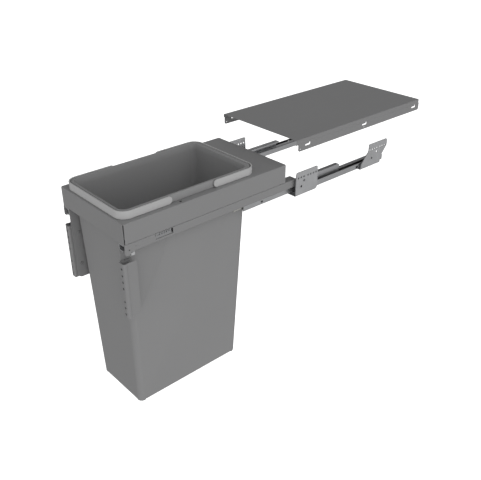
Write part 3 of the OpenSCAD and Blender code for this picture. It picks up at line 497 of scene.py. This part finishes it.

# The tray.
# One sheet of steel, folded down all round, with the opening that the bin hangs in, and powder
# coated mid grey. Powder paint sets with a fine orange-peel surface and pulls thin over the folds. The
# rounded edges are painted lighter, partly for that thin coat and partly as a painted highlight.
PAINT_LIGHT = (0.328, 0.328, 0.331)
PAINT = (0.316, 0.316, 0.319)
PAINT_DARK = (0.304, 0.304, 0.307)
# A lighter paint for the rounded edges: partly the thin coat there and partly a painted highlight.
PAINT_EDGE = (0.37, 0.37, 0.373)
PAINT_ROUGHNESS = 0.52
PAINT_EDGE_ROUGHNESS = 0.45
PAINT_CLOUDS = 7.0
PEEL_SCALE = 900.0
PEEL_DEPTH = 0.03 * mm
PEEL_STRENGTH = 0.35
CLOUDS_IN_PEEL = 0.4
RUB_STRETCH = (120, 9, 60)
RUB_MARKS = (0.58, 0.75)
PAINT_TONE_OF_CLOUDS = 0.85
PAINT_TONE_OF_PEEL = 0.15
PALER_WHERE_RUBBED = 0.12
PAINT_ROUGHER_BY_PEEL = 0.08
PAINT_ROUGHER_BY_CLOUDS = 0.07
SMOOTHER_WHERE_RUBBED = 0.06
TRAY_EASED = 0.4 * mm


def powder_coat(name, light, dark, roughness):
    """Powder paint: orange peel, slow drift in tone, and faint rubbed streaks from use."""
    material, shader, place = new_material(name)
    cloud = place.noise(PAINT_CLOUDS, detail=4.0)
    peel = place.noise(PEEL_SCALE, detail=2.0)
    rubbed = marks(place.noise(1.0, detail=5.0, stretch=RUB_STRETCH), RUB_MARKS)
    tone = cloud * PAINT_TONE_OF_CLOUDS + peel * PAINT_TONE_OF_PEEL + rubbed * PALER_WHERE_RUBBED
    connect(tone.between(dark, light), shader, "Base Color")
    uneven = swing(peel, PAINT_ROUGHER_BY_PEEL) + swing(cloud, PAINT_ROUGHER_BY_CLOUDS)
    connect(uneven - rubbed * SMOOTHER_WHERE_RUBBED + roughness, shader, "Roughness")
    raise_grain(shader, peel + cloud * CLOUDS_IN_PEEL, PEEL_DEPTH, PEEL_STRENGTH)
    return material


paint = powder_coat("grey_paint", PAINT_LIGHT, PAINT_DARK, PAINT_ROUGHNESS)
paint_edge = powder_coat("grey_paint_edge", PAINT_EDGE, PAINT, PAINT_EDGE_ROUGHNESS)
finish_sheet("frame_tray", paint, paint_edge, TRAY_EASED, segments=3)

# The side profiles, the drawer rails and the rivets between them.
# A painted profile stiffens each side of the tray, with a long window for the adjuster. The zinc
# rail of the runner hangs under it, and four rivets go through tray, profile and rail.
FRAME_RIVET_X = 116.5 * mm
FRAME_RIVET_Y = (-440 * mm, -300 * mm, -170 * mm, -45 * mm)
STACK_TOP = -3.5 * mm
STACK_BOTTOM = -9 * mm
UPPER_HEAD_R = 2.6 * mm
LOWER_HEAD_R = 2.3 * mm
FRAME_HEAD_H = 1 * mm
FRAME_DOME = ((0, 1), (0.6, 0.8), (0.92, 0.35), (1, 0))
frame_rivet = rivet_profile(FRAME_DOME, UPPER_HEAD_R, LOWER_HEAD_R, FRAME_HEAD_H, STACK_TOP, STACK_BOTTOM)
for side, sign in SIDES.items():
    finish_sheet(f"side_profile_{side}", paint, paint_edge)
    finish_sheet(f"drawer_rail_{side}", rail_zinc, rail_edge)
    bm = bmesh.new()
    for rivet_y in FRAME_RIVET_Y:
        turn(bm, frame_rivet, (sign * FRAME_RIVET_X, rivet_y, 0))
    finish_piece(bm, f"domed_frame_rivets_{side}", f"frame_rivets_{side}", bright_steel)

# The gusset plates and the door brackets.
# The gusset is a painted triangular plate inside each front corner. The door bracket is a painted
# channel folded from sheet, with a row of slots in its flanges where the door is screwed on.
for side in SIDES:
    finish_sheet(f"gusset_plate_{side}", paint, paint_edge)
    finish_sheet(f"door_bracket_{side}", paint, paint_edge)

# The door-bracket screws and nuts.
# Two machine screws a side clamp the bracket to the gusset: a low round head with a recess for the
# driver inside, a hexagonal nut with eased corners in the channel. Both are coated dull grey.
SCREW_PLACES = ((-463 * mm, -70 * mm), (-466 * mm, -151 * mm))
HEAD_INNER_X = 98 * mm
HEAD_OUTER_X = 99.6 * mm
SHANK_END_X = 108.8 * mm
SCREW_HEAD_R = 4 * mm
SCREW_SHANK_R = 2 * mm
SHANK_CHAMFER = 0.4 * mm
RECESS_R = 1.7 * mm
RECESS_DEPTH = 1.1 * mm
NUT_INNER_X = 104.8 * mm
NUT_OUTER_X = 107.8 * mm
NUT_CORNER_R = 3.5 * mm / math.cos(math.radians(30))
NUT_EASED = 0.25 * mm
DULL_LIGHT = (0.30, 0.30, 0.302)
DULL_DARK = (0.22, 0.22, 0.222)
DULL_ROUGHNESS = 0.5
dull_steel = powder_coat("dull_steel", DULL_LIGHT, DULL_DARK, DULL_ROUGHNESS)
# From the bottom of the recess, over the crown and rim of the head, to the end of the shank.
SCREW_PROFILE = (
    (0, HEAD_INNER_X + RECESS_DEPTH),
    (0.7 * RECESS_R, HEAD_INNER_X + RECESS_DEPTH),
    (RECESS_R, HEAD_INNER_X + 0.1 * mm),
    (1.25 * RECESS_R, HEAD_INNER_X),
    (0.72 * SCREW_HEAD_R, HEAD_INNER_X + 0.12 * mm),
    (0.93 * SCREW_HEAD_R, HEAD_INNER_X + 0.5 * mm),
    (SCREW_HEAD_R, HEAD_OUTER_X - 0.3 * mm),
    (SCREW_HEAD_R, HEAD_OUTER_X),
    (SCREW_SHANK_R, HEAD_OUTER_X),
    (SCREW_SHANK_R, SHANK_END_X - SHANK_CHAMFER),
    (SCREW_SHANK_R - SHANK_CHAMFER, SHANK_END_X),
    (0, SHANK_END_X),
)


def new_verts(result):
    """The corners that an extrusion has made."""
    return [v for v in result["geom"] if isinstance(v, bmesh.types.BMVert)]


def hexagon_nut(bm, sign, screw_y, screw_z):
    """Draws a flat ring with six corners, thickens it to a nut, and puts it on its screw."""
    outer = bmesh.ops.create_circle(bm, cap_ends=False, radius=NUT_CORNER_R, segments=6)["verts"]
    inner = bmesh.ops.create_circle(bm, cap_ends=False, radius=SCREW_SHANK_R, segments=6)["verts"]
    outline = list({edge for v in outer + inner for edge in v.link_edges})
    ring = bmesh.ops.bridge_loops(bm, edges=outline)["faces"]
    raised = new_verts(bmesh.ops.extrude_face_region(bm, geom=ring))
    nut = outer + inner + raised
    bmesh.ops.translate(bm, verts=raised, vec=(0, 0, NUT_OUTER_X - NUT_INNER_X))
    bmesh.ops.translate(bm, verts=nut, vec=(0, 0, NUT_INNER_X))
    put_down(bm, nut, (0, screw_y, screw_z), toward=sign)


for side, sign in SIDES.items():
    bm = bmesh.new()
    for screw_y, screw_z in SCREW_PLACES:
        turn(bm, SCREW_PROFILE, (0, screw_y, screw_z), toward=sign)
    finish_piece(bm, f"machine_screws_{side}", f"door_screws_{side}", dull_steel)

    bm = bmesh.new()
    for screw_y, screw_z in SCREW_PLACES:
        hexagon_nut(bm, sign, screw_y, screw_z)
    finish_piece(bm, f"hexagon_nuts_{side}", f"door_nuts_{side}", dull_steel, NUT_EASED)

# The release levers and their pins.
# A pressed-steel lever sits under each front corner of the tray and turns on a headed pin. Below a
# set height, over its thumb tab, it is light polished metal, and above that it is dark and dull.
LEVER_POLISHED = (0.74, 0.745, 0.755)
LEVER_DULL = (0.20, 0.202, 0.206)
LEVER_ROUGHNESS = 0.32
LEVER_CLOUDS = 90.0
LEVER_SCRATCHES = (300, 60, 900)
LEVER_RELIEF = 0.01 * mm
LEVER_RELIEF_STRENGTH = 0.3
POLISHED_METAL = 0.85
POLISH_EDGE_CLOUDS = 0.3
TONE_OF_POLISH = 0.9
TONE_OF_SCRATCHES = 0.2
LOWEST_TONE = 0.05
ROUGHER_BY_SCRATCHES = 0.15
SMOOTHER_WHERE_POLISHED = 0.08
LEVER_EASED = 0.5 * mm
TAB_TOP_Z = -24 * mm
TAB_BLEND = 3 * mm


def light_tab_steel(name):
    """Pressed steel that is dull above and polished over the thumb tab, with fine scratches across it."""
    material, shader, place = new_material(name)
    up = place.parts()[2]
    cloud = place.noise(LEVER_CLOUDS, detail=3.0)
    scratches = place.noise(1.0, detail=4.0, stretch=LEVER_SCRATCHES)
    below_tab_top = (TAB_TOP_Z - up) * (1.0 / TAB_BLEND) + 0.5
    polished = below_tab_top + swing(cloud, POLISH_EDGE_CLOUDS)
    polished = polished.maths("MAXIMUM", 0.0).maths("MINIMUM", 1.0)
    tone = polished * TONE_OF_POLISH + swing(scratches, TONE_OF_SCRATCHES) + LOWEST_TONE
    connect(tone.between(LEVER_DULL, LEVER_POLISHED), shader, "Base Color")
    connect(polished * POLISHED_METAL, shader, "Metallic")
    uneven = swing(scratches, ROUGHER_BY_SCRATCHES) - polished * SMOOTHER_WHERE_POLISHED
    connect(uneven + LEVER_ROUGHNESS, shader, "Roughness")
    raise_grain(shader, scratches, LEVER_RELIEF, LEVER_RELIEF_STRENGTH)
    return material


lever_steel = light_tab_steel("lever_steel")
for side in SIDES:
    finish_sheet(f"release_lever_{side}", lever_steel, lever_steel, LEVER_EASED, segments=3)
    finish_sheet(f"lever_pin_{side}", dull_steel, dull_steel)

# The adjusters.
# A toothed slider of zinc-plated steel shows in the window of each side profile; it lifts that
# corner of the tray to set the door level.
ADJUSTER_LIGHT = (0.46, 0.464, 0.472)
ADJUSTER_DARK = (0.37, 0.374, 0.382)
ADJUSTER_ROUGHNESS = 0.4
ADJUSTER_LINES = (60, 700, 700)
ADJUSTER_EASED = 0.3 * mm
adjuster_zinc = zinc_plate(
    "adjuster_zinc", ADJUSTER_LIGHT, ADJUSTER_DARK, ADJUSTER_ROUGHNESS, ADJUSTER_LINES
)
# The teeth's rounded edges are in bright steel, as a painted highlight along them.
for side in SIDES:
    finish_sheet(f"adjuster_{side}", adjuster_zinc, bright_steel, ADJUSTER_EASED)

# The lid.
# One folded and powder-coated sheet that stays in the cabinet above the closed bin; its slotted
# flanges are screwed to the cabinet sides.
LID_LIGHT = (0.313, 0.313, 0.316)
LID_DARK = (0.289, 0.289, 0.292)
LID_ROUGHNESS = 0.54
LID_EASED = 0.35 * mm
lid_paint = powder_coat("lid_paint", LID_LIGHT, LID_DARK, LID_ROUGHNESS)
finish_sheet("lid", lid_paint, paint_edge, LID_EASED, segments=3)

# The bin.
# Injection-moulded in mid-grey plastic, tapered so that it leaves the mould, with a skirted rim, a
# funnel under the rim, four round studs for the handles and small feet under its corners.
BIN_LIGHT = (0.346, 0.346, 0.349)
BIN_DARK = (0.324, 0.324, 0.327)
BIN_ROUGHNESS = 0.5
BIN_SCUFFING = 0.25
CORNER_SEGMENTS = 9
# Each outline: half width, front, back, corner radius, height, all in millimetres. A loop never lies
# quite level with the next, so that bridging keeps its corners in step.
UNDERSIDE = (
    (72.4, -443.5, -161.0, 6.0, -461.8),
    (74.0, -445.1, -159.4, 7.0, -466.9),
    (76.0, -447.1, -157.4, 8.5, -468.2),
    (79.9, -451.0, -153.5, 11.5, -468.1),
    (81.6, -452.7, -151.8, 13.2, -466.6),
    (82.3, -453.4, -151.1, 13.9, -464.6),
    (82.4, -453.5, -151.0, 14.0, -463.2),
)
OUTER_WALL = (
    (82.44, -453.53, -150.95, 14.0, -462.2),
    (100.58, -465.18, -125.43, 16.0, 41.3),
    (100.6, -465.2, -125.4, 16.0, 41.8),
    (103.0, -467.0, -125.0, 19.0, 57.8),
)
SKIRT = (
    (105.0, -468.0, -116.0, 20.5, 57.7),
    (105.0, -468.0, -116.0, 20.5, 42.2),
    (105.4, -468.4, -115.6, 20.9, 41.8),
    (106.6, -469.6, -114.4, 22.1, 41.9),
    (107.0, -470.0, -114.0, 22.5, 42.2),
    (107.0, -470.0, -114.0, 22.5, 58.3),
)
ROLLED_LIP = (
    (106.8, -469.8, -114.2, 22.3, 59.0),
    (106.3, -469.3, -114.7, 21.8, 59.6),
    (105.5, -468.5, -115.5, 21.0, 60.0),
    (102.2, -466.0, -125.8, 18.0, 59.9),
    (101.4, -465.4, -126.6, 17.4, 59.6),
    (101.0, -465.0, -127.0, 17.0, 59.0),
)
INSIDE = (
    (98.9, -463.4, -127.4, 14.4, 43.0),
    (98.6, -463.2, -127.5, 14.0, 41.0),
    (80.9, -451.9, -152.5, 12.4, -450.0),
    (80.0, -451.1, -153.4, 11.6, -456.0),
    (77.6, -448.7, -155.8, 10.2, -459.6),
    (73.6, -444.7, -159.8, 8.0, -461.0),
)
FOOT_LENGTH = 13.0 * mm
FOOT_SLOPE = 3.0 * mm
BASE_EDGE = -463.4 * mm
BASE_REACH = 2 * mm
DROP_KEPT = 0.12
# The faces round the base have fewer corners than this, and the flat base itself has many more.
RING_FACE_CORNERS = 8
STUD_X = (104.5 * mm, 111 * mm)
STUD_Y = (-357.45 * mm, -226.55 * mm)
STUD_Z = 51.05 * mm
STUD_R = 4 * mm
STUD_PROFILE = (
    (0, STUD_X[0]),
    (STUD_R, STUD_X[0]),
    (STUD_R, STUD_X[1] - 0.6 * mm),
    (STUD_R - 0.2 * mm, STUD_X[1] - 0.2 * mm),
    (STUD_R - 0.6 * mm, STUD_X[1]),
    (0, STUD_X[1]),
)


def round_cornered(bm, outline):
    """Draws one outline as a closed loop of edges: a rectangle with each corner rounded off."""
    half_width, front, back, radius, height = (size * mm for size in outline)
    corners = bmesh.ops.create_grid(bm, x_segments=1, y_segments=1, size=1.0)["verts"]
    bmesh.ops.scale(bm, verts=corners, vec=(half_width, (back - front) / 2, 1))
    bmesh.ops.translate(bm, verts=corners, vec=(0, (front + back) / 2, height))
    rounded = bmesh.ops.bevel(
        bm,
        geom=corners,
        offset=radius,
        segments=CORNER_SEGMENTS,
        profile=0.5,
        affect="VERTICES",
        material=-1,
    )
    sheet = rounded["verts"][0].link_faces[0]
    edges = list(sheet.edges)
    bmesh.ops.delete(bm, geom=[sheet], context="FACES_ONLY")
    return edges


def bridge_in_turn(bm, loops):
    """Joins each loop of edges to the next with a band of faces."""
    for first, second in zip(loops, loops[1:]):
        bmesh.ops.bridge_loops(bm, edges=first + second)


def cut_faces(bm, faces, cut_at, cut_across):
    """Cuts the given faces along a plane, and leaves all the others whole."""
    geometry = faces + list({e for f in faces for e in f.edges} | {v for f in faces for v in f.verts})
    bmesh.ops.bisect_plane(bm, geom=geometry, plane_co=cut_at, plane_no=cut_across, dist=SAME_PLACE)


bm = bmesh.new()
loops = [round_cornered(bm, outline) for outline in UNDERSIDE + OUTER_WALL + SKIRT + ROLLED_LIP + INSIDE]
bridge_in_turn(bm, loops)
bmesh.ops.contextual_create(bm, geom=loops[0])
bmesh.ops.contextual_create(bm, geom=loops[-1])

# The base is cut across beside each corner, and lifting what lies between the cuts leaves the feet.
half_width, front, back = (size * mm for size in UNDERSIDE[-1][:3])
for step in (FOOT_LENGTH, FOOT_LENGTH + FOOT_SLOPE):
    for cut_at, cut_across in (
        ((half_width - step, 0, 0), (1, 0, 0)),
        ((step - half_width, 0, 0), (1, 0, 0)),
        ((0, front + step, 0), (0, 1, 0)),
        ((0, back - step, 0), (0, 1, 0)),
    ):
        low = [f for f in bm.faces if max(v.co.z for v in f.verts) < BASE_EDGE + BASE_REACH]
        round_base = [f for f in low if len(f.verts) < RING_FACE_CORNERS]
        cut_faces(bm, round_base, cut_at, cut_across)
foot_end = FOOT_LENGTH + FOOT_SLOPE / 2
for v in bm.verts:
    between_feet = abs(v.co.x) < half_width - foot_end or front + foot_end < v.co.y < back - foot_end
    if v.co.z < BASE_EDGE and between_feet:
        v.co.z = BASE_EDGE + (v.co.z - BASE_EDGE) * DROP_KEPT

for sign in SIDES.values():
    for stud_y in STUD_Y:
        turn(bm, STUD_PROFILE, (0, stud_y, STUD_Z), toward=sign)
bin_plastic = moulded_plastic("bin_plastic", BIN_LIGHT, BIN_DARK, BIN_ROUGHNESS, BIN_SCUFFING)
finish_piece(bm, "moulded_bin", "bin", bin_plastic)

# The two handles.
# Pale grey moulded bows that lie round the rim and swing up on the bin's studs. Their ends are
# rounded about the studs, every edge is rolled over for the hand, and a socket takes each stud.
HANDLE_LIGHT = (0.60, 0.60, 0.60)
HANDLE_DARK = (0.565, 0.565, 0.565)
HANDLE_ROUGHNESS = 0.42
HANDLE_SCUFFING = 0.2
# Half width, front, back and corner radius in millimetres, as the bin's outlines are.
HANDLE_OUTER = (112.0, -475.0, -109.0, 26.0)
HANDLE_THICK = 3.0
HANDLE_LOW = 42.1
HANDLE_TOP = 60.0
STAGGER = 0.05
HANDLE_INNER_X = (HANDLE_OUTER[0] - HANDLE_THICK) * mm
HANDLE_ROLL = 0.8 * mm
END_R = (HANDLE_TOP - HANDLE_LOW) / 2 * mm
END_SEGMENTS = 32
END_MERGED = 0.08 * mm
SOCKET_R = STUD_R + 0.15 * mm
SOCKET_DEPTH = 2.2 * mm
SOCKET_SEGMENTS = 24
PATCH = 6 * mm
SLIGHT = 0.02 * mm


def bow(bm, pivot_y, keep):
    """Half of a band with four round corners: the half in front of the pivot (-1) or behind it (1)."""
    half_width, front, back, radius = HANDLE_OUTER
    inner = (half_width - HANDLE_THICK, front + HANDLE_THICK, back - HANDLE_THICK, radius - HANDLE_THICK)
    loops = [
        round_cornered(bm, (*HANDLE_OUTER, HANDLE_LOW)),
        round_cornered(bm, (*HANDLE_OUTER, HANDLE_TOP)),
        round_cornered(bm, (*inner, HANDLE_TOP - STAGGER)),
        round_cornered(bm, (*inner, HANDLE_LOW + STAGGER)),
    ]
    bridge_in_turn(bm, loops + loops[:1])
    bmesh.ops.bisect_plane(
        bm,
        geom=bm.verts[:] + bm.edges[:] + bm.faces[:],
        plane_co=(0, pivot_y, 0),
        plane_no=(0, keep, 0),
        clear_inner=True,
    )


def rounded_end(bm, sign, pivot_y, keep):
    """Adds the half disc that rounds off one end of a bow about its stud."""
    disc = bmesh.ops.create_circle(bm, cap_ends=True, radius=END_R, segments=END_SEGMENTS)["verts"]
    put_down(bm, disc, (sign * HANDLE_INNER_X, pivot_y, STUD_Z), toward=1)
    grown = new_verts(bmesh.ops.extrude_face_region(bm, geom=[disc[0].link_faces[0]]))
    bmesh.ops.translate(bm, verts=grown, vec=(sign * HANDLE_THICK * mm, 0, 0))
    verts = disc + grown
    faces = list({f for v in verts for f in v.link_faces})
    edges = list({e for f in faces for e in f.edges})
    bmesh.ops.bisect_plane(
        bm,
        geom=verts + edges + faces,
        plane_co=(0, pivot_y, 0),
        plane_no=(0, keep, 0),
        clear_outer=True,
    )


def stud_socket(bm, sign, pivot_y):
    """Cuts a square patch from an end's inner face and sinks a round blind hole in its place."""
    inner_x = sign * HANDLE_INNER_X

    def inner_faces():
        return [f for f in bm.faces if max(abs(v.co.x - inner_x) for v in f.verts) < SLIGHT]

    def in_patch(face):
        farthest_along = max(abs(v.co.y - pivot_y) for v in face.verts)
        farthest_up = max(abs(v.co.z - STUD_Z) for v in face.verts)
        return max(farthest_along, farthest_up) < PATCH + SLIGHT

    for step in (-PATCH, PATCH):
        cut_faces(bm, inner_faces(), (0, pivot_y + step, 0), (0, 1, 0))
    for step in (-PATCH, PATCH):
        cut_faces(bm, inner_faces(), (0, 0, STUD_Z + step), (0, 0, 1))
    patch = [f for f in inner_faces() if in_patch(f)]
    bmesh.ops.delete(bm, geom=patch, context="FACES")
    mouth = [e for e in bm.edges if len(e.link_faces) == 1]
    circle = bmesh.ops.create_circle(bm, cap_ends=False, radius=SOCKET_R, segments=SOCKET_SEGMENTS)["verts"]
    put_down(bm, circle, (inner_x + sign * SLIGHT, pivot_y, STUD_Z), toward=1)
    rim = list({e for v in circle for e in v.link_edges})
    bmesh.ops.bridge_loops(bm, edges=mouth + rim)
    sunk = bmesh.ops.extrude_edge_only(bm, edges=rim)
    bmesh.ops.translate(bm, verts=new_verts(sunk), vec=(sign * SOCKET_DEPTH, 0, 0))
    bottom = [e for e in sunk["geom"] if isinstance(e, bmesh.types.BMEdge)]
    bmesh.ops.contextual_create(bm, geom=bottom)


handle_plastic = moulded_plastic(
    "handle_plastic", HANDLE_LIGHT, HANDLE_DARK, HANDLE_ROUGHNESS, HANDLE_SCUFFING
)
for name, pivot_y, keep in (("front_handle", STUD_Y[0], -1), ("rear_handle", STUD_Y[1], 1)):
    bm = bmesh.new()
    bow(bm, pivot_y, keep)
    for sign in SIDES.values():
        rounded_end(bm, sign, pivot_y, keep)
    # With the corners in a fixed order, the merge keeps the same ones in every run.
    bm.verts.sort(key=lambda v: 4 * v.co.x + 2 * v.co.y + v.co.z)
    bmesh.ops.remove_doubles(bm, verts=bm.verts, dist=END_MERGED)
    bmesh.ops.recalc_face_normals(bm, faces=bm.faces)
    bmesh.ops.bevel(
        bm,
        geom=[e for e in bm.edges if e.calc_face_angle(0) > FOLD_ANGLE],
        offset=HANDLE_ROLL,
        segments=3,
        profile=0.5,
        affect="EDGES",
        clamp_overlap=True,
        material=-1,
    )
    for sign in SIDES.values():
        stud_socket(bm, sign, pivot_y)
    finish_piece(bm, f"moulded_{name}", name, handle_plastic, even=True)
